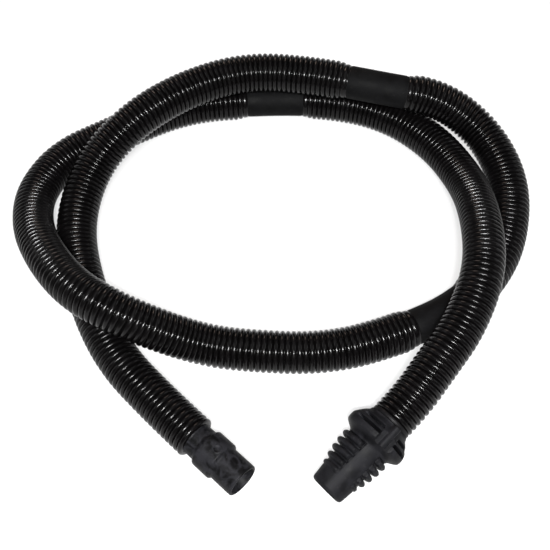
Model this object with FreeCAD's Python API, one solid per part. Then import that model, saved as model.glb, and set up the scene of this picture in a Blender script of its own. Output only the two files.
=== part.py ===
import FreeCAD, Part
import math
import os

# A corrugated vacuum hose lying on the ground in two loops.
# Frame: millimetres, +Z up, the ground is Z = 0, +X runs to the right along the longer side of the loops.

V = FreeCAD.Vector

# --- hose -----------------------------------------------------------------------------------------
HOSE_CREST_RADIUS = 20.0        # outside of the corrugations
HOSE_BORE_RADIUS = 16.0         # 1-1/4 inch bore
SMOOTH_RADIUS = 17.2            # outside of the plain cuffs moulded into the hose
SMOOTH_LENGTH = 62.0
SMOOTH_CENTRES = [675.0, 1046.0, 1864.0]     # distances along the hose
ARC_SHARE = 0.45                # part of the shorter run that each arc's tangent takes
SHORTEST_EDGE = 0.01
VOLUME_TOLERANCE = 0.002        # between a tube and its section times its length
STRETCH_LENGTH = 95.0           # the longest piece of corrugated hose kept as one solid

# The centre line, from the plain end cuff to the ribbed connector.  It crosses itself four times
# and lies on top of itself along the back.
ROUTE = [
    (-67, -181, 20), (-100, -150, 20), (-149, -98, 20), (-183, -25, 20), (-201, 48, 20),
    (-187, 113, 34), (-143, 153, 61), (-87, 196, 62), (-25, 219, 62), (45, 212, 62),
    (121, 191, 63), (176, 185, 56), (219, 163, 34), (242, 120, 22), (243, 68, 20),
    (224, 5, 20), (181, -46, 20), (119, -77, 20), (50, -98, 20), (-32, -94, 20),
    (-70, -88, 23), (-107, -84, 42), (-146, -75, 61), (-183, -53, 63), (-215, -11, 52),
    (-239, 38, 33), (-244, 88, 22), (-221, 135, 20), (-173, 165, 20), (-100, 207, 20),
    (-23, 216, 20), (55, 216, 20), (121, 199, 20), (172, 157, 20), (200, 97, 27),
    (202, 32, 54), (196, -33, 65), (173, -87, 57), (142, -127, 49), (122, -152.7, 40.8),
    (104, -170, 35),
]

# --- plain end cuff, distances measured outwards from the end of the hose ---------------------------
FITTING_BORE_RADIUS = 13.5      # the water way through both fittings
TAIL_LENGTH = 12.0              # the tail pushed into the hose
CUFF_NECK_RADIUS = 15.4
CUFF_NECK_END = 10.5
CUFF_COLLAR_RADIUS = 18.2
CUFF_COLLAR_START = 13.0
CUFF_COLLAR_END = 31.0
CUFF_SPIGOT_RADIUS = 15.9
CUFF_SPIGOT_START = 33.0
CUFF_LENGTH = 57.0
CUFF_LIP_ROUND = 1.6
DIMPLE_RADIUS = 3.2
DIMPLE_DEPTH = 0.9
DIMPLE_PLACE = 26.0

# --- swivel bush and seal ring ----------------------------------------------------------------------
BUSH_BORE_RADIUS = 14.0
BUSH_FLANGE_RADIUS = 19.4
BUSH_FLANGE_LENGTH = 4.0
BUSH_SLEEVE_RADIUS = 18.0
BUSH_LENGTH = 26.0
BUSH_LIP_RADIUS = 18.9
BUSH_LIP_LENGTH = 3.5
SEAL_START = 14.0
SEAL_WIDTH = 2.4
SEAL_INNER_RADIUS = 16.4

# --- ribbed connector, distances measured outwards from the end of the hose --------------------------
RUNNING_GAP = 0.05              # between the bush's sleeve and the connector's socket
SEAM_GAP = 0.4                  # between the bush's flange and the connector, and behind the lip
CONNECTOR_LENGTH = 83.5
CONNECTOR_ROLL = 29.0           # degrees that the connector is turned on its bush as it lies
BACK_WAIST_RADIUS = 20.2
BACK_WAIST_END = 6.0
SHOULDER = (9.5, 24.0)          # distance and radius where the back of the collar turns less steep
COLLAR_RADIUS = 29.5
COLLAR_START = 17.0
COLLAR_END = 25.5
COLLAR_ROUND = 2.4
COLLAR_TOP = 26.5               # flat along the top of the collar
FRONT_WAIST_RADIUS = 20.2
FRONT_WAIST_START = 30.5
NOSE_START = 32.5
GROOVE_BACK_RADIUS = 18.8       # floor of the grooves between the ribs, at each end of the nose
GROOVE_FRONT_RADIUS = 16.3
TIP_START = 69.0
TIP_BACK_RADIUS = 17.3
TIP_RADIUS = 15.9
TIP_ROUND = 1.4
SLOT_WIDTH = 3.0
SLOT_CENTRES = [12.2, 18.2]
SLOT_FLOOR_RADIUS = 20.5
SLOT_LOW = 7.6                  # height above the axis where the slots end
WEB_HALF_WIDTH = 8.4            # the smooth strip along the top and the bottom of the connector
WEB_BACK_RADIUS = 21.2
RIB_COUNT = 5
RIB_PITCH = 7.4
RIB_FIRST = 36.0
RIB_WIDTH = 4.4
RIB_ROUND = 1.8
RIB_RADIUS = 24.0
RIB_DROP = 5.0                  # how much smaller the last rib is
BAR_START = 4.6
BAR_END = 27.0
BAR_HALF_WIDTH = 3.0
BAR_TOP = 29.0

ALONG = V(1, 0, 0)
MARGIN = 1.0                    # how far a cutting solid reaches past what it cuts


def unit(vector):
    return vector * (1.0 / vector.Length)


def tangent_path(points):
    """Straight runs joined by tangent arcs, with the radius of each arc."""
    edges = []
    radii = []
    start = points[0]
    for before, corner, after in zip(points, points[1:], points[2:]):
        run_in = corner - before
        run_out = after - corner
        turn = run_in.getAngle(run_out)
        setback = ARC_SHARE * min(run_in.Length, run_out.Length)
        radius = setback / math.tan(turn / 2)
        arc_start = corner - unit(run_in) * setback
        arc_end = corner + unit(run_out) * setback
        inwards = unit(unit(run_out) - unit(run_in))
        arc_middle = corner + inwards * (radius / math.cos(turn / 2) - radius)
        edges.append(Part.LineSegment(start, arc_start).toShape())
        edges.append(Part.Arc(arc_start, arc_middle, arc_end).toShape())
        radii.append(radius)
        start = arc_end
    edges.append(Part.LineSegment(start, points[-1]).toShape())
    return edges, radii


def stretch(edges, begin, end):
    """The part of a path between two distances along it."""
    kept = []
    passed = 0.0
    for edge in edges:
        low = max(begin - passed, 0.0)
        high = min(end - passed, edge.Length)
        if high - low > SHORTEST_EDGE:
            first = edge.getParameterByLength(low)
            last = edge.getParameterByLength(high)
            kept.append(edge.Curve.toShape(first, last))
        passed += edge.Length
    return Part.Wire(kept)


def tube(path, outer_radius, inner_radius):
    """A round tube of constant wall along a path."""
    first = path.Edges[0]
    place = first.valueAt(first.FirstParameter)
    direction = first.tangentAt(first.FirstParameter)
    outer = Part.Face(Part.Wire(Part.makeCircle(outer_radius, place, direction)))
    inner = Part.Face(Part.Wire(Part.makeCircle(inner_radius, place, direction)))
    solid = path.makePipe(outer.cut(inner).Faces[0])
    section = math.pi * (outer_radius**2 - inner_radius**2)
    error = solid.Volume / (section * path.Length) - 1
    if abs(error) > VOLUME_TOLERANCE:
        raise ValueError("tube volume is off by %.2f%%" % (100 * error))
    return solid


def turned(profile):
    """A solid of revolution about the X axis from (distance, radius) corners."""
    corners = [V(distance, 0, radius) for distance, radius in profile]
    outline = Part.makePolygon(corners + [corners[0]])
    return Part.Face(outline).revolve(V(0, 0, 0), ALONG, 360)


def ring(start, end, outer_radius, inner_radius):
    outer = Part.makeCylinder(outer_radius, end - start, V(start, 0, 0), ALONG)
    inner = Part.makeCylinder(inner_radius, end - start, V(start, 0, 0), ALONG)
    return outer.cut(inner)


def edges_of_radius(solid, radius, distances):
    """The round edges of one radius that lie at the given distances along X."""
    found = []
    for edge in solid.Edges:
        if not isinstance(edge.Curve, Part.Circle):
            continue
        same_radius = abs(edge.Curve.Radius - radius) < SHORTEST_EDGE
        if same_radius and any(abs(edge.Curve.Center.x - x) < SHORTEST_EDGE for x in distances):
            found.append(edge)
    return found


def make_plain_cuff():
    """Stepped cuff: a tail in the hose, a neck, a thick collar and a plain spigot with a round lip."""
    body = turned([
        (-TAIL_LENGTH, FITTING_BORE_RADIUS),
        (-TAIL_LENGTH, HOSE_BORE_RADIUS),
        (0, HOSE_BORE_RADIUS),
        (0, CUFF_NECK_RADIUS),
        (CUFF_NECK_END, CUFF_NECK_RADIUS),
        (CUFF_COLLAR_START, CUFF_COLLAR_RADIUS),
        (CUFF_COLLAR_END, CUFF_COLLAR_RADIUS),
        (CUFF_SPIGOT_START, CUFF_SPIGOT_RADIUS),
        (CUFF_LENGTH, CUFF_SPIGOT_RADIUS),
        (CUFF_LENGTH, FITTING_BORE_RADIUS),
    ])
    body = body.makeFillet(CUFF_LIP_ROUND, edges_of_radius(body, CUFF_SPIGOT_RADIUS, [CUFF_LENGTH]))
    ball_radius = (DIMPLE_RADIUS**2 + DIMPLE_DEPTH**2) / (2 * DIMPLE_DEPTH)
    ball_height = CUFF_COLLAR_RADIUS - DIMPLE_DEPTH + ball_radius
    return body.cut(Part.makeSphere(ball_radius, V(DIMPLE_PLACE, 0, ball_height)))


def make_swivel_bush():
    """Bush fixed in the hose: a tail, a flange that shows, and a sleeve with a snap lip."""
    lip_start = BUSH_LENGTH - BUSH_LIP_LENGTH
    body = turned([
        (-TAIL_LENGTH, BUSH_BORE_RADIUS),
        (-TAIL_LENGTH, HOSE_BORE_RADIUS),
        (0, HOSE_BORE_RADIUS),
        (0, BUSH_FLANGE_RADIUS),
        (BUSH_FLANGE_LENGTH, BUSH_FLANGE_RADIUS),
        (BUSH_FLANGE_LENGTH, BUSH_SLEEVE_RADIUS),
        (lip_start, BUSH_SLEEVE_RADIUS),
        (lip_start, BUSH_LIP_RADIUS),
        (BUSH_LENGTH, BUSH_SLEEVE_RADIUS),
        (BUSH_LENGTH, BUSH_BORE_RADIUS),
    ])
    groove = ring(SEAL_START, SEAL_START + SEAL_WIDTH, BUSH_SLEEVE_RADIUS + MARGIN, SEAL_INNER_RADIUS)
    return body.cut(groove)


def make_seal_ring():
    """Rubber ring that fills the groove in the bush's sleeve."""
    return ring(SEAL_START, SEAL_START + SEAL_WIDTH, BUSH_SLEEVE_RADIUS, SEAL_INNER_RADIUS)


def web_strip(start, end):
    """The block that holds the smooth strips along the top and the bottom of the connector."""
    reach = COLLAR_RADIUS + MARGIN
    return Part.makeBox(
        end - start, 2 * WEB_HALF_WIDTH, 2 * reach, V(start, -WEB_HALF_WIDTH, -reach)
    )


def make_side_slot(centre):
    """Cutter for one slot on each upper side of the collar."""
    start = centre - SLOT_WIDTH / 2
    end = centre + SLOT_WIDTH / 2
    reach = COLLAR_RADIUS + MARGIN
    slot = ring(start, end, reach, SLOT_FLOOR_RADIUS)
    lower_part = Part.makeBox(end - start, 2 * reach, reach + SLOT_LOW, V(start, -reach, -reach))
    return slot.cut([web_strip(start, end), lower_part])


def make_side_ribs(index):
    """One pair of round-edged ribs on the two sides of the nose."""
    start = RIB_FIRST + index * RIB_PITCH - RIB_WIDTH / 2
    share = index / (RIB_COUNT - 1)
    radius = RIB_RADIUS - RIB_DROP * share**2
    disc = Part.makeCylinder(radius, RIB_WIDTH, V(start, 0, 0), ALONG)
    rim = edges_of_radius(disc, radius, [start, start + RIB_WIDTH])
    return disc.makeFillet(RIB_ROUND, rim).cut(web_strip(start, start + RIB_WIDTH))


def make_connector():
    """Connector: a flared collar with side slots, then a tapered nose with ribs on its two sides."""
    body = turned([
        (BUSH_FLANGE_LENGTH + SEAM_GAP, 0),
        (BUSH_FLANGE_LENGTH + SEAM_GAP, BACK_WAIST_RADIUS),
        (BACK_WAIST_END, BACK_WAIST_RADIUS),
        SHOULDER,
        (COLLAR_START, COLLAR_RADIUS),
        (COLLAR_END, COLLAR_RADIUS),
        (FRONT_WAIST_START, FRONT_WAIST_RADIUS),
        (NOSE_START, FRONT_WAIST_RADIUS),
        (NOSE_START, GROOVE_BACK_RADIUS),
        (TIP_START, GROOVE_FRONT_RADIUS),
        (TIP_START, TIP_BACK_RADIUS),
        (CONNECTOR_LENGTH, TIP_RADIUS),
        (CONNECTOR_LENGTH, 0),
    ])
    collar_rims = edges_of_radius(body, COLLAR_RADIUS, [COLLAR_START, COLLAR_END])
    body = body.makeFillet(COLLAR_ROUND, collar_rims)
    body = body.makeFillet(TIP_ROUND, edges_of_radius(body, TIP_RADIUS, [CONNECTOR_LENGTH]))

    top_flat = Part.makeBox(
        FRONT_WAIST_START - BACK_WAIST_END, 2 * WEB_HALF_WIDTH, COLLAR_RADIUS,
        V(BACK_WAIST_END, -WEB_HALF_WIDTH, COLLAR_TOP),
    )
    body = body.cut([top_flat] + [make_side_slot(centre) for centre in SLOT_CENTRES])

    bar_bottom = BACK_WAIST_RADIUS - MARGIN
    bar = Part.makeBox(
        BAR_END - BAR_START, 2 * BAR_HALF_WIDTH, BAR_TOP - bar_bottom,
        V(BAR_START, -BAR_HALF_WIDTH, bar_bottom),
    )
    nose_length = TIP_START - NOSE_START
    nose = Part.makeCone(WEB_BACK_RADIUS, TIP_BACK_RADIUS, nose_length, V(NOSE_START, 0, 0), ALONG)
    webs = nose.common(web_strip(NOSE_START, TIP_START))
    body = body.fuse([bar, webs] + [make_side_ribs(index) for index in range(RIB_COUNT)])

    socket_radius = BUSH_SLEEVE_RADIUS + RUNNING_GAP
    socket_end = BUSH_LENGTH + SEAM_GAP
    pocket_start = BUSH_LENGTH - BUSH_LIP_LENGTH - SEAM_GAP
    socket = Part.makeCylinder(socket_radius, socket_end, V(0, 0, 0), ALONG)
    pocket = Part.makeCylinder(
        BUSH_LIP_RADIUS + SEAM_GAP, socket_end - pocket_start, V(pocket_start, 0, 0), ALONG
    )
    water_way = Part.makeCylinder(FITTING_BORE_RADIUS, CONNECTOR_LENGTH + MARGIN, V(0, 0, 0), ALONG)
    return body.cut([socket, pocket, water_way]).removeSplitter()


def at_hose_end(shape, end, inside, roll=0.0):
    """Move a fitting built along +X so that its axis leaves the end of the hose."""
    direction = end - inside
    heading = math.degrees(math.atan2(direction.y, direction.x))
    dip = -math.degrees(math.asin(direction.z / direction.Length))
    shape.Placement = FreeCAD.Placement(end, FreeCAD.Rotation(heading, dip, -roll))
    return shape


def single_solid(shape):
    if len(shape.Solids) != 1:
        raise ValueError("expected one solid, got %d" % len(shape.Solids))
    return shape.Solids[0]


def save(name, shape):
    solid = single_solid(shape)
    solid.exportStep("parts/%s.step" % name)
    box = solid.BoundBox
    print("%-14s valid %s  %.1f cm3  x %.1f..%.1f  y %.1f..%.1f  z %.2f..%.2f" % (
        name, solid.isValid(), solid.Volume / 1000,
        box.XMin, box.XMax, box.YMin, box.YMax, box.ZMin, box.ZMax))


os.makedirs("parts", exist_ok=True)

route = [V(*point) for point in ROUTE]
path, radii = tangent_path(route)
hose_length = sum(edge.Length for edge in path)
print("hose length %.1f" % hose_length)
print("arc radii:", " ".join("%.0f" % radius for radius in radii))

smooth_spans = [
    (centre - SMOOTH_LENGTH / 2, centre + SMOOTH_LENGTH / 2) for centre in SMOOTH_CENTRES
]
for number, (start, end) in enumerate(smooth_spans, start=1):
    save("mid_cuff_%d" % number, tube(stretch(path, start, end), SMOOTH_RADIUS, HOSE_BORE_RADIUS))

span_starts = [0.0] + [end for start, end in smooth_spans]
span_ends = [start for start, end in smooth_spans] + [hose_length]
number = 0
for start, end in zip(span_starts, span_ends):
    count = math.ceil((end - start) / STRETCH_LENGTH)
    step = (end - start) / count
    for index in range(count):
        number += 1
        piece = stretch(path, start + index * step, start + (index + 1) * step)
        save("hose_span_%02d" % number, tube(piece, HOSE_CREST_RADIUS, HOSE_BORE_RADIUS))

save("plain_cuff", at_hose_end(make_plain_cuff(), route[0], route[1]))
save("swivel_bush", at_hose_end(make_swivel_bush(), route[-1], route[-2]))
save("seal_ring", at_hose_end(make_seal_ring(), route[-1], route[-2]))
save("connector", at_hose_end(make_connector(), route[-1], route[-2], CONNECTOR_ROLL))
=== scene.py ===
import math

import bpy
from mathutils import Matrix, Vector


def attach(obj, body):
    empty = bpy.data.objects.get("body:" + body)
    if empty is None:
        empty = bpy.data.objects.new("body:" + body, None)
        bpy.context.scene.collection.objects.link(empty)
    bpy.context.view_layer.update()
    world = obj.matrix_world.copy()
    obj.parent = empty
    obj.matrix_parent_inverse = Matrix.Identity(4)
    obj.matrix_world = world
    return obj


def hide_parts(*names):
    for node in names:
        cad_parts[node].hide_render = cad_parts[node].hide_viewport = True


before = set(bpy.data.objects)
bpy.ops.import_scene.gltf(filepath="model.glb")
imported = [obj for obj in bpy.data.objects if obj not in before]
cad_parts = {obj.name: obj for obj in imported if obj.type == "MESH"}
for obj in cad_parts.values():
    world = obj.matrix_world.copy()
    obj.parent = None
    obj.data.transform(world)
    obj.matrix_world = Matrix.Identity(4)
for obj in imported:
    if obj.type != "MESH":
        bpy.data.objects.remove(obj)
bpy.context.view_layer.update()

# A corrugated pool vacuum hose in two loops, with its two end fittings.
# Metres, in the frame of the CAD model.

TAU = 2 * math.pi

# --- hose, as in the CAD model ----------------------------------------------------------------------
# Control points of its centre line, from the plain end cuff to the ribbed connector.
ROUTE = [
    (-0.067, -0.181, 0.020), (-0.100, -0.150, 0.020), (-0.149, -0.098, 0.020), (-0.183, -0.025, 0.020),
    (-0.201, 0.048, 0.020), (-0.187, 0.113, 0.034), (-0.143, 0.153, 0.061), (-0.087, 0.196, 0.062),
    (-0.025, 0.219, 0.062), (0.045, 0.212, 0.062), (0.121, 0.191, 0.063), (0.176, 0.185, 0.056),
    (0.219, 0.163, 0.034), (0.242, 0.120, 0.022), (0.243, 0.068, 0.020), (0.224, 0.005, 0.020),
    (0.181, -0.046, 0.020), (0.119, -0.077, 0.020), (0.050, -0.098, 0.020), (-0.032, -0.094, 0.020),
    (-0.070, -0.088, 0.023), (-0.107, -0.084, 0.042), (-0.146, -0.075, 0.061), (-0.183, -0.053, 0.063),
    (-0.215, -0.011, 0.052), (-0.239, 0.038, 0.033), (-0.244, 0.088, 0.022), (-0.221, 0.135, 0.020),
    (-0.173, 0.165, 0.020), (-0.100, 0.207, 0.020), (-0.023, 0.216, 0.020), (0.055, 0.216, 0.020),
    (0.121, 0.199, 0.020), (0.172, 0.157, 0.020), (0.200, 0.097, 0.027), (0.202, 0.032, 0.054),
    (0.196, -0.033, 0.065), (0.173, -0.087, 0.057), (0.142, -0.127, 0.049), (0.122, -0.1527, 0.0408),
    (0.104, -0.170, 0.035),
]
CREST_RADIUS = 0.0200
ROOT_RADIUS = 0.0167
SMOOTH_RADIUS = 0.0172
SMOOTH_LENGTH = 0.062
SMOOTH_CENTRES = [0.672, 1.046, 1.864]      # along the centre line
SMOOTH_RINGS = [0.02, 0.05, 0.12, 0.3, 0.5, 0.7, 0.88, 0.95, 0.98]      # shares of a smooth stretch
SMOOTH_EDGE = 0.04              # share at each end that lies as deep as a groove
SMOOTH_BLEND = 0.03
RIB_PITCH = 0.0054
RIB_PHASES = [0.0, 0.04, 0.11, 0.22, 0.36, 0.5, 0.64, 0.78, 0.89, 0.96]     # rings of each rib
CREST_FLATNESS = 2.4            # 2 is an elliptic crest, higher is flatter
CREST_FULLNESS = 0.60           # lower makes broader crests and narrower grooves
FADED_RIBS = [0.35, 0.75]       # height of the first ribs beside a smooth stretch
HOSE_SIDES = 48
SPLINE_STEPS = 24

# --- camera -----------------------------------------------------------------------------------------
CAMERA_PLACE = (0.002, -0.494, 0.792)
CAMERA_TILT = math.radians(32.0)            # up from straight down
CAMERA_LENS = 61.2                          # mm, on a sensor SENSOR_WIDTH mm wide
SENSOR_WIDTH = 36.0


def add_camera():
    data = bpy.data.cameras.new("camera")
    data.sensor_width = SENSOR_WIDTH
    data.lens = CAMERA_LENS
    data.clip_start = 0.01
    camera = bpy.data.objects.new("camera", data)
    camera.location = CAMERA_PLACE
    camera.rotation_euler = (CAMERA_TILT, 0.0, 0.0)
    bpy.context.collection.objects.link(camera)
    bpy.context.scene.camera = camera


# --- paths ------------------------------------------------------------------------------------------
def spline_points(name, controls):
    """Points along the smooth NURBS line that the control points shape."""
    curve = bpy.data.curves.new(name, "CURVE")
    curve.dimensions = "3D"
    curve.resolution_u = SPLINE_STEPS
    spline = curve.splines.new("NURBS")
    spline.points.add(len(controls) - 1)
    for point, place in zip(spline.points, controls):
        point.co = (*place, 1.0)
    spline.order_u = 3
    spline.use_endpoint_u = True
    holder = bpy.data.objects.new(name, curve)
    mesh = bpy.data.meshes.new_from_object(holder)
    points = [vertex.co.copy() for vertex in mesh.vertices]
    bpy.data.objects.remove(holder)
    bpy.data.curves.remove(curve)
    bpy.data.meshes.remove(mesh)
    return points


class Line:
    """A polyline that gives the place, direction and cross-section axes at a distance along it."""

    def __init__(self, points):
        self.points = points
        self.distances = [0.0]
        for a, b in zip(points, points[1:]):
            self.distances.append(self.distances[-1] + (b - a).length)
        self.length = self.distances[-1]
        self.index = 0
        self.side = None
        self.previous = None

    def place(self, distance):
        """The point at a distance. Distances are asked for in rising order."""
        while self.index < len(self.points) - 2 and self.distances[self.index + 1] < distance:
            self.index += 1
        a = self.points[self.index]
        b = self.points[self.index + 1]
        span = self.distances[self.index + 1] - self.distances[self.index]
        share = (distance - self.distances[self.index]) / span
        return a.lerp(b, share)

    def direction(self):
        """Direction near the last place asked for, smoothed over its neighbours."""
        low = max(self.index - 1, 0)
        high = min(self.index + 2, len(self.points) - 1)
        return (self.points[high] - self.points[low]).normalized()

    def axes(self):
        """Two cross-section axes that turn as little as possible along the line."""
        along = self.direction()
        if self.side is None:
            self.side = along.cross(Vector((0, 0, 1))).normalized()
        else:
            self.side = self.previous.rotation_difference(along) @ self.side
            self.side = (self.side - along * self.side.dot(along)).normalized()
        self.previous = along
        return self.side, self.side.cross(along)


# --- mesh helpers -----------------------------------------------------------------------------------
def skin(rings):
    """Vertices and faces of a surface through rings of equal size, closed at both ends."""
    sides = len(rings[0])
    vertices = [point for ring in rings for point in ring]
    faces = []
    for row in range(len(rings) - 1):
        for column in range(sides):
            following = (column + 1) % sides
            faces.append((
                row * sides + column,
                row * sides + following,
                (row + 1) * sides + following,
                (row + 1) * sides + column,
            ))
    last = (len(rings) - 1) * sides
    faces.append(tuple(reversed(range(sides))))
    faces.append(tuple(range(last, last + sides)))
    return vertices, faces


def add_piece(name, vertices, faces, material, body):
    mesh = bpy.data.meshes.new(name)
    mesh.from_pydata(vertices, [], faces)
    mesh.materials.append(material)
    mesh.validate()
    mesh.update()
    mesh.polygons.foreach_set("use_smooth", [True] * len(mesh.polygons))
    piece = bpy.data.objects.new(name, mesh)
    bpy.context.collection.objects.link(piece)
    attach(piece, body)
    return piece


def smooth_step(value, start, end):
    """0 before start, 1 after end, and an S curve between them."""
    share = min(max((value - start) / (end - start), 0.0), 1.0)
    return share * share * (3 - 2 * share)


def between(value, start, end, blend):
    """1 between start and end, 0 outside, with soft edges of width blend."""
    return smooth_step(value, start - blend, start) * (1 - smooth_step(value, end, end + blend))


def arc_drop(share):
    """How far a quarter circle of radius 1 has fallen at a share of the way to its end."""
    return 1 - math.sqrt(max(0.0, 1 - share * share))


# --- materials --------------------------------------------------------------------------------------
CLOUD_SCALE = 70.0              # slow changes of tone and gloss, about 14 mm across
CLOUD_DETAIL = 5.0
TONE_SPAN = (0.40, 0.62)        # the part of the clouds that changes the tone
GLOSS_SPAN = (0.3, 0.7)
GLOSS_CHANGE = (0.85, 1.2)      # least and most roughness, as a share of the mean
SPECK_SCALE = 420.0             # grain and dust, about 2 mm across
SPECK_DETAIL = 3.0
DUST_SPAN = (0.62, 0.80)        # the part of the specks that shows as dust
DUST_COLOUR = (0.16, 0.155, 0.15, 1.0)
GRAIN_DEPTH = 0.0003
PLASTIC_IOR = 1.5


def add_noise(tree, place, scale, detail, distortion):
    """A noise texture's value at a place on the piece."""
    noise = tree.nodes.new("ShaderNodeTexNoise")
    noise.inputs["Scale"].default_value = scale
    noise.inputs["Detail"].default_value = detail
    noise.inputs["Distortion"].default_value = distortion
    tree.links.new(place, noise.inputs["Vector"])
    return noise.outputs["Fac"]


def add_range(tree, value, given, wanted, interpolation="LINEAR"):
    """Maps a value from the given range to the wanted one."""
    node = tree.nodes.new("ShaderNodeMapRange")
    node.interpolation_type = interpolation
    node.inputs["From Min"].default_value, node.inputs["From Max"].default_value = given
    node.inputs["To Min"].default_value, node.inputs["To Max"].default_value = wanted
    tree.links.new(value, node.inputs["Value"])
    return node.outputs["Result"]


def moulded_plastic(name, colour, roughness, grain, scuff, specular, swirl=0.0, contrast=0.25):
    """Dark moulded plastic: uneven gloss, faint tone changes, fine grain and a few dusty scuffs."""
    material = bpy.data.materials.new(name)
    material.use_nodes = True
    tree = material.node_tree
    shader = tree.nodes["Principled BSDF"]
    shader.inputs["IOR"].default_value = PLASTIC_IOR
    shader.inputs["Specular IOR Level"].default_value = specular

    place = tree.nodes.new("ShaderNodeTexCoord").outputs["Object"]
    clouds = add_noise(tree, place, CLOUD_SCALE, CLOUD_DETAIL, swirl)
    specks = add_noise(tree, place, SPECK_SCALE, SPECK_DETAIL, 0.0)

    tone = tree.nodes.new("ShaderNodeValToRGB")
    for stop, position, level in zip(tone.color_ramp.elements, TONE_SPAN, (1 - contrast, 1 + contrast)):
        stop.position = position
        stop.color = (*[level * c for c in colour], 1.0)
    tree.links.new(clouds, tone.inputs["Fac"])

    dusty = tree.nodes.new("ShaderNodeMix")
    dusty.data_type = "RGBA"
    dusty.inputs["B"].default_value = DUST_COLOUR
    tree.links.new(add_range(tree, specks, DUST_SPAN, (0.0, scuff)), dusty.inputs["Factor"])
    tree.links.new(tone.outputs["Color"], dusty.inputs["A"])
    tree.links.new(dusty.outputs["Result"], shader.inputs["Base Color"])

    gloss = add_range(tree, clouds, GLOSS_SPAN, [change * roughness for change in GLOSS_CHANGE])
    tree.links.new(gloss, shader.inputs["Roughness"])

    bump = tree.nodes.new("ShaderNodeBump")
    bump.inputs["Strength"].default_value = grain
    bump.inputs["Distance"].default_value = GRAIN_DEPTH
    tree.links.new(specks, bump.inputs["Height"])
    tree.links.new(bump.outputs["Normal"], shader.inputs["Normal"])
    return material


# --- hose -------------------------------------------------------------------------------------------
def corrugated_stations(start, end, fade_start, fade_end):
    """(distance, radius) along a corrugated span of whole ribs, faded beside a smooth stretch."""
    count = round((end - start) / RIB_PITCH)
    pitch = (end - start) / count
    stations = []
    for rib in range(count):
        height = 1.0
        if fade_start and rib < len(FADED_RIBS):
            height = FADED_RIBS[rib]
        if fade_end and count - 1 - rib < len(FADED_RIBS):
            height = FADED_RIBS[count - 1 - rib]
        for phase in RIB_PHASES:
            rise = (1 - abs(2 * phase - 1) ** CREST_FLATNESS) ** CREST_FULLNESS
            radius = ROOT_RADIUS + height * rise * (CREST_RADIUS - ROOT_RADIUS)
            stations.append((start + (rib + phase) * pitch, radius))
    stations.append((end, ROOT_RADIUS))
    return stations


def hose_stations(length):
    """(distance, radius) of every ring of the hose."""
    stations = []
    begin = 0.0
    for centre in SMOOTH_CENTRES:
        smooth_start = centre - SMOOTH_LENGTH / 2
        stations += corrugated_stations(begin, smooth_start, begin > 0, True)
        for share in SMOOTH_RINGS:
            rise = between(share, SMOOTH_EDGE, 1 - SMOOTH_EDGE, SMOOTH_BLEND)
            radius = ROOT_RADIUS + rise * (SMOOTH_RADIUS - ROOT_RADIUS)
            stations.append((smooth_start + share * SMOOTH_LENGTH, radius))
        begin = centre + SMOOTH_LENGTH / 2
    return stations + corrugated_stations(begin, length, True, False)


def add_hose(ribbed, plain):
    """One tube with real ribs. Returns it and the points of its centre line."""
    points = spline_points("hose_line", ROUTE)
    line = Line(points)
    stations = hose_stations(line.length)
    turns = [TAU * n / HOSE_SIDES for n in range(HOSE_SIDES)]
    rings = []
    for distance, radius in stations:
        centre = line.place(distance)
        side, up = line.axes()
        rings.append([centre + radius * (math.cos(t) * side + math.sin(t) * up) for t in turns])
    vertices, faces = skin(rings)
    hose = add_piece("hose", vertices, faces, ribbed, "hose")
    hose.data.materials.append(plain)
    for centre in SMOOTH_CENTRES:
        for row, (distance, _) in enumerate(stations[:-1]):
            if abs(distance - centre) < SMOOTH_LENGTH / 2:
                for face in range(row * HOSE_SIDES, (row + 1) * HOSE_SIDES):
                    hose.data.polygons[face].material_index = 1
    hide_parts(*[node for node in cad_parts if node.startswith(("hose_span", "mid_cuff"))])
    return hose, points


# --- fittings ---------------------------------------------------------------------------------------
# Distances along a fitting are in metres from the end of the hose that it is on.
FITTING_SIDES = 240
FITTING_STEP = 0.0003
FITTING_BORE = 0.0135
TAIL_START = -0.0100            # the end of a fitting's tail, inside the hose
MOUTH_DEPTH = 0.0004            # how far the mouth's small chamfer goes in
END_RINGS = 8                   # rings of a rounded end


def fitting_matrix(end, inside, roll=0.0):
    """Places a fitting built along +X at the end of the hose, turned about its axis by roll."""
    along = (Vector(end) - Vector(inside)).normalized()
    across = Vector((0, 0, 1)).cross(along).normalized()
    turn = Matrix((along, across, along.cross(across))).transposed().to_4x4()
    return Matrix.Translation(end) @ turn @ Matrix.Rotation(-roll, 4, "X")


def turned_surface(distances, radius_at, inner, matrix):
    """A hollow turned shape.

    Its outside radius is a function of distance and angle from the top. Its inside goes back
    from the last distance through (distance, radius) corners, and then to the first ring.
    """
    turns = [TAU * n / FITTING_SIDES for n in range(FITTING_SIDES)]
    rings = [(distance, [radius_at(distance, turn) for turn in turns]) for distance in distances]
    rings += [(distance, [radius] * FITTING_SIDES) for distance, radius in inner]
    vertices = [
        matrix @ Vector((distance, radius * math.sin(turn), radius * math.cos(turn)))
        for distance, radii in rings
        for radius, turn in zip(radii, turns)
    ]
    faces = []
    for row in range(len(rings)):
        below = row * FITTING_SIDES
        above = ((row + 1) % len(rings)) * FITTING_SIDES
        for n in range(FITTING_SIDES):
            following = (n + 1) % FITTING_SIDES
            faces.append((below + following, below + n, above + n, above + following))
    return vertices, faces


def steps(start, end, step):
    """Even distances from start to end, both included."""
    count = max(1, round((end - start) / step))
    return [start + (end - start) * n / count for n in range(count + 1)]


def outside_steps(start, end, rounding):
    """Distances along an outside whose last stretch is rounded."""
    return steps(start, end - rounding, FITTING_STEP) + steps(end - rounding, end, rounding / END_RINGS)[1:]


def end_drop(distance, end, rounding):
    """How far the outside is drawn in to round its end."""
    return rounding * arc_drop(max(0.0, (distance - end + rounding) / rounding))


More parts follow.
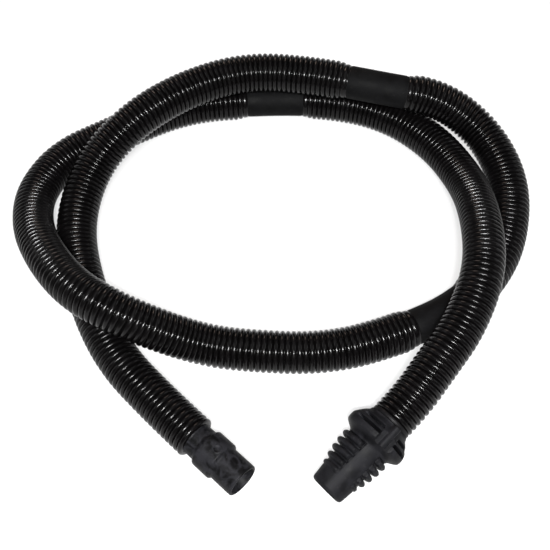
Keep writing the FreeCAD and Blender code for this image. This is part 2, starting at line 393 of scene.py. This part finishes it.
def outline_radius(distance, corners):
    """Radius at a distance along a turned outline given as (distance, radius) corners."""
    for (x0, r0), (x1, r1) in zip(corners, corners[1:]):
        if distance <= x1:
            return r0 + (r1 - r0) * max(0.0, (distance - x0) / (x1 - x0))
    return corners[-1][1]


def rounded_outline(distance, corners, reach):
    """The same outline with its corners softened over a short reach."""
    offsets = (-1.0, -0.5, 0.0, 0.5, 1.0)
    return sum(outline_radius(distance + reach * o, corners) for o in offsets) / len(offsets)


# Plain end cuff.
CUFF_END = 0.0570
CUFF_OUTLINE = [
    (TAIL_START, 0.0160), (0.0, 0.0160), (0.0004, 0.0154), (0.0100, 0.0154), (0.0130, 0.0182),
    (0.0310, 0.0182), (0.0330, 0.0159), (CUFF_END, 0.0159),
]
CUFF_CORNER = 0.0006            # reach over which its corners are softened
CUFF_LIP = 0.0016               # length of its rounded end
CUFF_MOUTH = 0.0140             # radius
DIMPLE_DISTANCE = 0.0255
DIMPLE_ASIDE = 0.0015           # how far it lies from the top, around the cuff
DIMPLE_DEPTH = 0.0008
DIMPLE_FLOOR = 0.0018           # radius of its flat floor
DIMPLE_EDGE = 0.0032            # radius of its edge
RIM_HEIGHT = 0.00035            # faint raised rim around the dimple
RIM_INNER = 0.0033
RIM_OUTER = 0.0040
RIM_BLEND = 0.0006


def cuff_radius(distance, angle):
    """Stepped outside, with a small dimple on top and a faint raised rim around it."""
    radius = rounded_outline(distance, CUFF_OUTLINE, CUFF_CORNER)
    radius -= end_drop(distance, CUFF_END, CUFF_LIP)
    from_top = (angle + math.pi) % TAU - math.pi
    reach = math.hypot(distance - DIMPLE_DISTANCE, from_top * radius - DIMPLE_ASIDE)
    radius -= DIMPLE_DEPTH * (1 - smooth_step(reach, DIMPLE_FLOOR, DIMPLE_EDGE))
    radius += RIM_HEIGHT * between(reach, RIM_INNER, RIM_OUTER, RIM_BLEND)
    return radius


def add_plain_cuff(material, matrix):
    distances = outside_steps(TAIL_START, CUFF_END, CUFF_LIP)
    inner = [(CUFF_END, CUFF_MOUTH), (CUFF_END - MOUTH_DEPTH, FITTING_BORE), (TAIL_START, FITTING_BORE)]
    vertices, faces = turned_surface(distances, cuff_radius, inner, matrix)
    cuff = add_piece("plain_end_cuff", vertices, faces, material, "hose")
    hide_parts("plain_cuff")


# Ribbed connector.
CONNECTOR_ROLL = math.radians(29.0)
CONNECTOR_START = 0.0044
CONNECTOR_END = 0.0835
CONNECTOR_OUTLINE = [
    (CONNECTOR_START, 0.0202), (0.0060, 0.0204), (0.0095, 0.0240), (0.0150, 0.0280), (0.0172, 0.0293),
    (0.0190, 0.0296), (0.0238, 0.0296), (0.0258, 0.0286), (0.0282, 0.0248), (0.0300, 0.0214),
    (0.0325, 0.0204), (0.0690, 0.0173), (CONNECTOR_END, 0.0159),
]
CONNECTOR_INSIDE = [            # mouth, bore, lip pocket and socket
    (CONNECTOR_END, 0.0139), (CONNECTOR_END - MOUTH_DEPTH, FITTING_BORE), (0.0268, FITTING_BORE),
    (0.0264, 0.0192), (0.0222, 0.0192), (0.0220, 0.01805), (CONNECTOR_START, 0.01805),
]
CONNECTOR_CORNER = 0.0009       # reach over which its corners are softened
COLLAR_TOP = 0.0265             # height of the collar's flat top above the axis
COLLAR_BLEND = 0.0020           # width over which the flat top gives way to the round sides
SLOT_CENTRES = [0.0122, 0.0182]
SLOT_HALF_WIDTH = 0.0018
SLOT_FLOOR = 0.0190             # radius at the bottom of the slots
SLOT_LOW = 0.0076               # height of the slots' lower ends above the axis
WEB_HALF_WIDTH = 0.0084         # the smooth strip along the top and the bottom
GROOVE_START = 0.0330           # the sunk sides of the nose, between its ribs
GROOVE_END = 0.0680
GROOVE_BACK_RADIUS = 0.0184
GROOVE_FRONT_RADIUS = 0.0170
GROOVE_BLEND = 0.0008
RIB_COUNT = 5
CONNECTOR_RIB_PITCH = 0.0074
RIB_FIRST = 0.0360              # middle of the first rib
RIB_HALF_WIDTH = 0.0029
RIB_RADIUS = 0.0240             # of the first rib
RIB_DROP = 0.0050               # how much less the last rib's is
RIB_CROWN = 1.3                 # fall from a rib's crest to its foot, in half widths
RIB_END_ROUND = 0.0024
BAR_START = 0.0046              # the raised bar along the top of the collar
BAR_END = 0.0270
BAR_HALF_WIDTH = 0.0032
BAR_TOP = 0.0296                # height above the axis
BAR_CROWN = 0.0018              # how far the rounded edges of the bar lie below its top
TIP_ROUND = 0.0028              # length of its rounded end
SOFT_EDGE = 0.0005              # half width of the edges of slots, grooves and bar


def connector_core(distance, angle):
    """Outside of the connector without its slots, ribs and bar: flat along the top of the collar."""
    radius = rounded_outline(distance, CONNECTOR_OUTLINE, CONNECTOR_CORNER)
    upright = math.cos(angle)
    if upright > 0:
        across = radius * abs(math.sin(angle))
        beside = smooth_step(across, WEB_HALF_WIDTH, WEB_HALF_WIDTH + COLLAR_BLEND)
        radius = min(radius, COLLAR_TOP / upright + beside * radius)
    return radius


def connector_radius(distance, angle):
    """Flared collar with slots in its upper sides, a tapered nose with side ribs, and a top bar."""
    core = connector_core(distance, angle)
    around = abs((angle + math.pi) % TAU - math.pi)
    across = core * math.sin(around)
    beside_web = smooth_step(across, WEB_HALF_WIDTH - SOFT_EDGE, WEB_HALF_WIDTH + SOFT_EDGE)
    rib_end = smooth_step(across, WEB_HALF_WIDTH - SOFT_EDGE, WEB_HALF_WIDTH + RIB_END_ROUND)
    radius = core

    above = smooth_step(core * math.cos(angle), SLOT_LOW - SOFT_EDGE, SLOT_LOW + SOFT_EDGE)
    for centre in SLOT_CENTRES:
        inside = max(0.0, 1 - abs(distance - centre) / SLOT_HALF_WIDTH)
        radius -= max(0.0, core - SLOT_FLOOR) * inside * beside_web * above

    grooved = between(distance, GROOVE_START, GROOVE_END, GROOVE_BLEND)
    share = (distance - GROOVE_START) / (GROOVE_END - GROOVE_START)
    floor = GROOVE_BACK_RADIUS + share * (GROOVE_FRONT_RADIUS - GROOVE_BACK_RADIUS)
    radius -= max(0.0, core - floor) * grooved * beside_web
    for index in range(RIB_COUNT):
        offset = abs(distance - RIB_FIRST - index * CONNECTOR_RIB_PITCH) / RIB_HALF_WIDTH
        if offset < 1.0:
            crest = RIB_RADIUS - RIB_DROP * (index / (RIB_COUNT - 1)) ** 2
            crest -= RIB_CROWN * RIB_HALF_WIDTH * arc_drop(offset)
            radius += max(0.0, crest - radius) * rib_end

    on_bar = between(distance, BAR_START + SOFT_EDGE, BAR_END - SOFT_EDGE, SOFT_EDGE)
    if math.cos(angle) > 0 and on_bar > 0:
        bar = BAR_TOP / math.cos(angle)
        aside = bar * abs(math.sin(angle)) / BAR_HALF_WIDTH
        if aside < 1.0:
            bar -= BAR_CROWN * arc_drop(aside)
            radius += max(0.0, bar - radius) * on_bar

    return radius - end_drop(distance, CONNECTOR_END, TIP_ROUND)


def add_connector(material, matrix):
    distances = outside_steps(CONNECTOR_START, CONNECTOR_END, TIP_ROUND)
    vertices, faces = turned_surface(distances, connector_radius, CONNECTOR_INSIDE, matrix)
    connector = add_piece("ribbed_connector", vertices, faces, material, "connector")
    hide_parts("connector")
    return connector


# Swivel bush: what shows is its flange.
BUSH_BORE = 0.0140
BUSH_END = 0.0260
BUSH_OUTLINE = [
    (TAIL_START, 0.0160), (0.0, 0.0160), (0.0002, 0.0190), (0.0008, 0.0194), (0.0034, 0.0194),
    (0.0040, 0.0188), (0.0042, 0.0180), (0.0225, 0.0180), (0.0226, 0.0188), (BUSH_END, 0.0180),
]


def add_swivel_bush(material, matrix):
    def bush_radius(distance, angle):
        return outline_radius(distance, BUSH_OUTLINE)

    distances = [distance for distance, _ in BUSH_OUTLINE]
    inner = [(BUSH_END, BUSH_BORE), (TAIL_START, BUSH_BORE)]
    vertices, faces = turned_surface(distances, bush_radius, inner, matrix)
    bush = add_piece("hose_swivel_bush", vertices, faces, material, "hose")
    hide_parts("swivel_bush")
    return bush


# --- floor and light --------------------------------------------------------------------------------
WHITE = (1.0, 1.0, 1.0)
FLOOR_HALF_SIZE = 40.0
FLOOR_TONE = 0.26
FLOOR_GLOW = 0.60               # keeps the floor as white as the photograph's background
HORIZON_STRENGTH = 0.60
OVERHEAD_STRENGTH = 0.08
HORIZON_SPAN = (0.05, 0.30)     # height in the sky over which the one fades into the other
LIGHT_TARGET = (0.0, 0.0, 0.0)
LIGHTS = [                      # name, place, width, height, watts, colour
    ("flash", (0.01, -0.74, 1.17), 0.10, 0.10, 13.0, WHITE),
    ("key", (0.01, -0.76, 1.20), 0.85, 0.10, 38.0, WHITE),
    ("soft_top", (0.0, 0.3, 2.2), 2.2, 2.2, 8.0, WHITE),
    ("back", (-0.3, 1.3, 0.9), 0.6, 0.6, 6.0, (1.0, 0.78, 0.66)),
    ("left", (-1.3, 0.1, 0.7), 0.6, 0.6, 2.0, WHITE),
    ("right", (1.3, 0.1, 0.7), 0.6, 0.6, 2.0, WHITE),
]


def add_floor():
    half = FLOOR_HALF_SIZE
    corners = [(-half, -half, 0), (half, -half, 0), (half, half, 0), (-half, half, 0)]
    mesh = bpy.data.meshes.new("floor")
    mesh.from_pydata(corners, [], [(0, 1, 2, 3)])
    material = bpy.data.materials.new("floor")
    material.use_nodes = True
    shader = material.node_tree.nodes["Principled BSDF"]
    shader.inputs["Base Color"].default_value = (FLOOR_TONE, FLOOR_TONE, FLOOR_TONE, 1.0)
    shader.inputs["Roughness"].default_value = 0.9
    shader.inputs["Specular IOR Level"].default_value = 0.1
    shader.inputs["Emission Color"].default_value = (*WHITE, 1.0)
    shader.inputs["Emission Strength"].default_value = FLOOR_GLOW
    mesh.materials.append(material)
    floor = bpy.data.objects.new("floor", mesh)
    bpy.context.collection.objects.link(floor)


def add_world():
    """Pale at the horizon and dark overhead, so that the gloss of the plastic stays deep black."""
    world = bpy.data.worlds.new("studio")
    world.use_nodes = True
    tree = world.node_tree
    direction = tree.nodes.new("ShaderNodeTexCoord")
    split = tree.nodes.new("ShaderNodeSeparateXYZ")
    tree.links.new(direction.outputs["Generated"], split.inputs["Vector"])
    strengths = (HORIZON_STRENGTH, OVERHEAD_STRENGTH)
    fade = add_range(tree, split.outputs["Z"], HORIZON_SPAN, strengths, "SMOOTHSTEP")
    tree.links.new(fade, tree.nodes["Background"].inputs["Strength"])
    tree.nodes["Background"].inputs["Color"].default_value = (*WHITE, 1.0)
    bpy.context.scene.world = world


def add_lights():
    """Most light comes from beside the camera, as from a flash."""
    for name, place, width, height, power, colour in LIGHTS:
        data = bpy.data.lights.new(name, "AREA")
        data.shape = "ELLIPSE"
        data.size = width
        data.size_y = height
        data.energy = power
        data.color = colour
        light = bpy.data.objects.new(name, data)
        light.location = place
        aim = Vector(LIGHT_TARGET) - Vector(place)
        light.rotation_euler = aim.to_track_quat("-Z", "Y").to_euler()
        bpy.context.collection.objects.link(light)
    bpy.context.scene.view_settings.view_transform = "Standard"


add_camera()

hose_plastic = moulded_plastic(
    "hose_plastic", (0.0016, 0.0014, 0.0015), roughness=0.19, grain=0.05, scuff=0.02, specular=0.155)
smooth_plastic = moulded_plastic(
    "smooth_plastic", (0.0021, 0.0021, 0.0023), roughness=0.62, grain=0.12, scuff=0.03, specular=0.055)
cuff_plastic = moulded_plastic(
    "cuff_plastic", (0.0058, 0.0058, 0.0069), roughness=0.50, grain=0.16, scuff=0.05, specular=0.085,
    swirl=2.6, contrast=0.75)
connector_plastic = moulded_plastic(
    "connector_plastic", (0.0050, 0.0050, 0.0060), roughness=0.56, grain=0.16, scuff=0.05, specular=0.080,
    swirl=0.8, contrast=0.4)
bush_plastic = moulded_plastic(
    "bush_plastic", (0.0040, 0.0038, 0.0042), roughness=0.44, grain=0.14, scuff=0.05, specular=0.09)
seal_rubber = moulded_plastic(
    "seal_rubber", (0.0030, 0.0030, 0.0030), roughness=0.75, grain=0.20, scuff=0.05, specular=0.08)

hose, hose_path = add_hose(hose_plastic, smooth_plastic)
add_plain_cuff(cuff_plastic, fitting_matrix(ROUTE[0], ROUTE[1]))
connector_place = fitting_matrix(ROUTE[-1], ROUTE[-2])
bush = add_swivel_bush(bush_plastic, connector_place)
connector = add_connector(connector_plastic, fitting_matrix(ROUTE[-1], ROUTE[-2], CONNECTOR_ROLL))
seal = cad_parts["seal_ring"]
seal.data.materials.clear()
seal.data.materials.append(seal_rubber)

add_floor()
add_world()
add_lights()
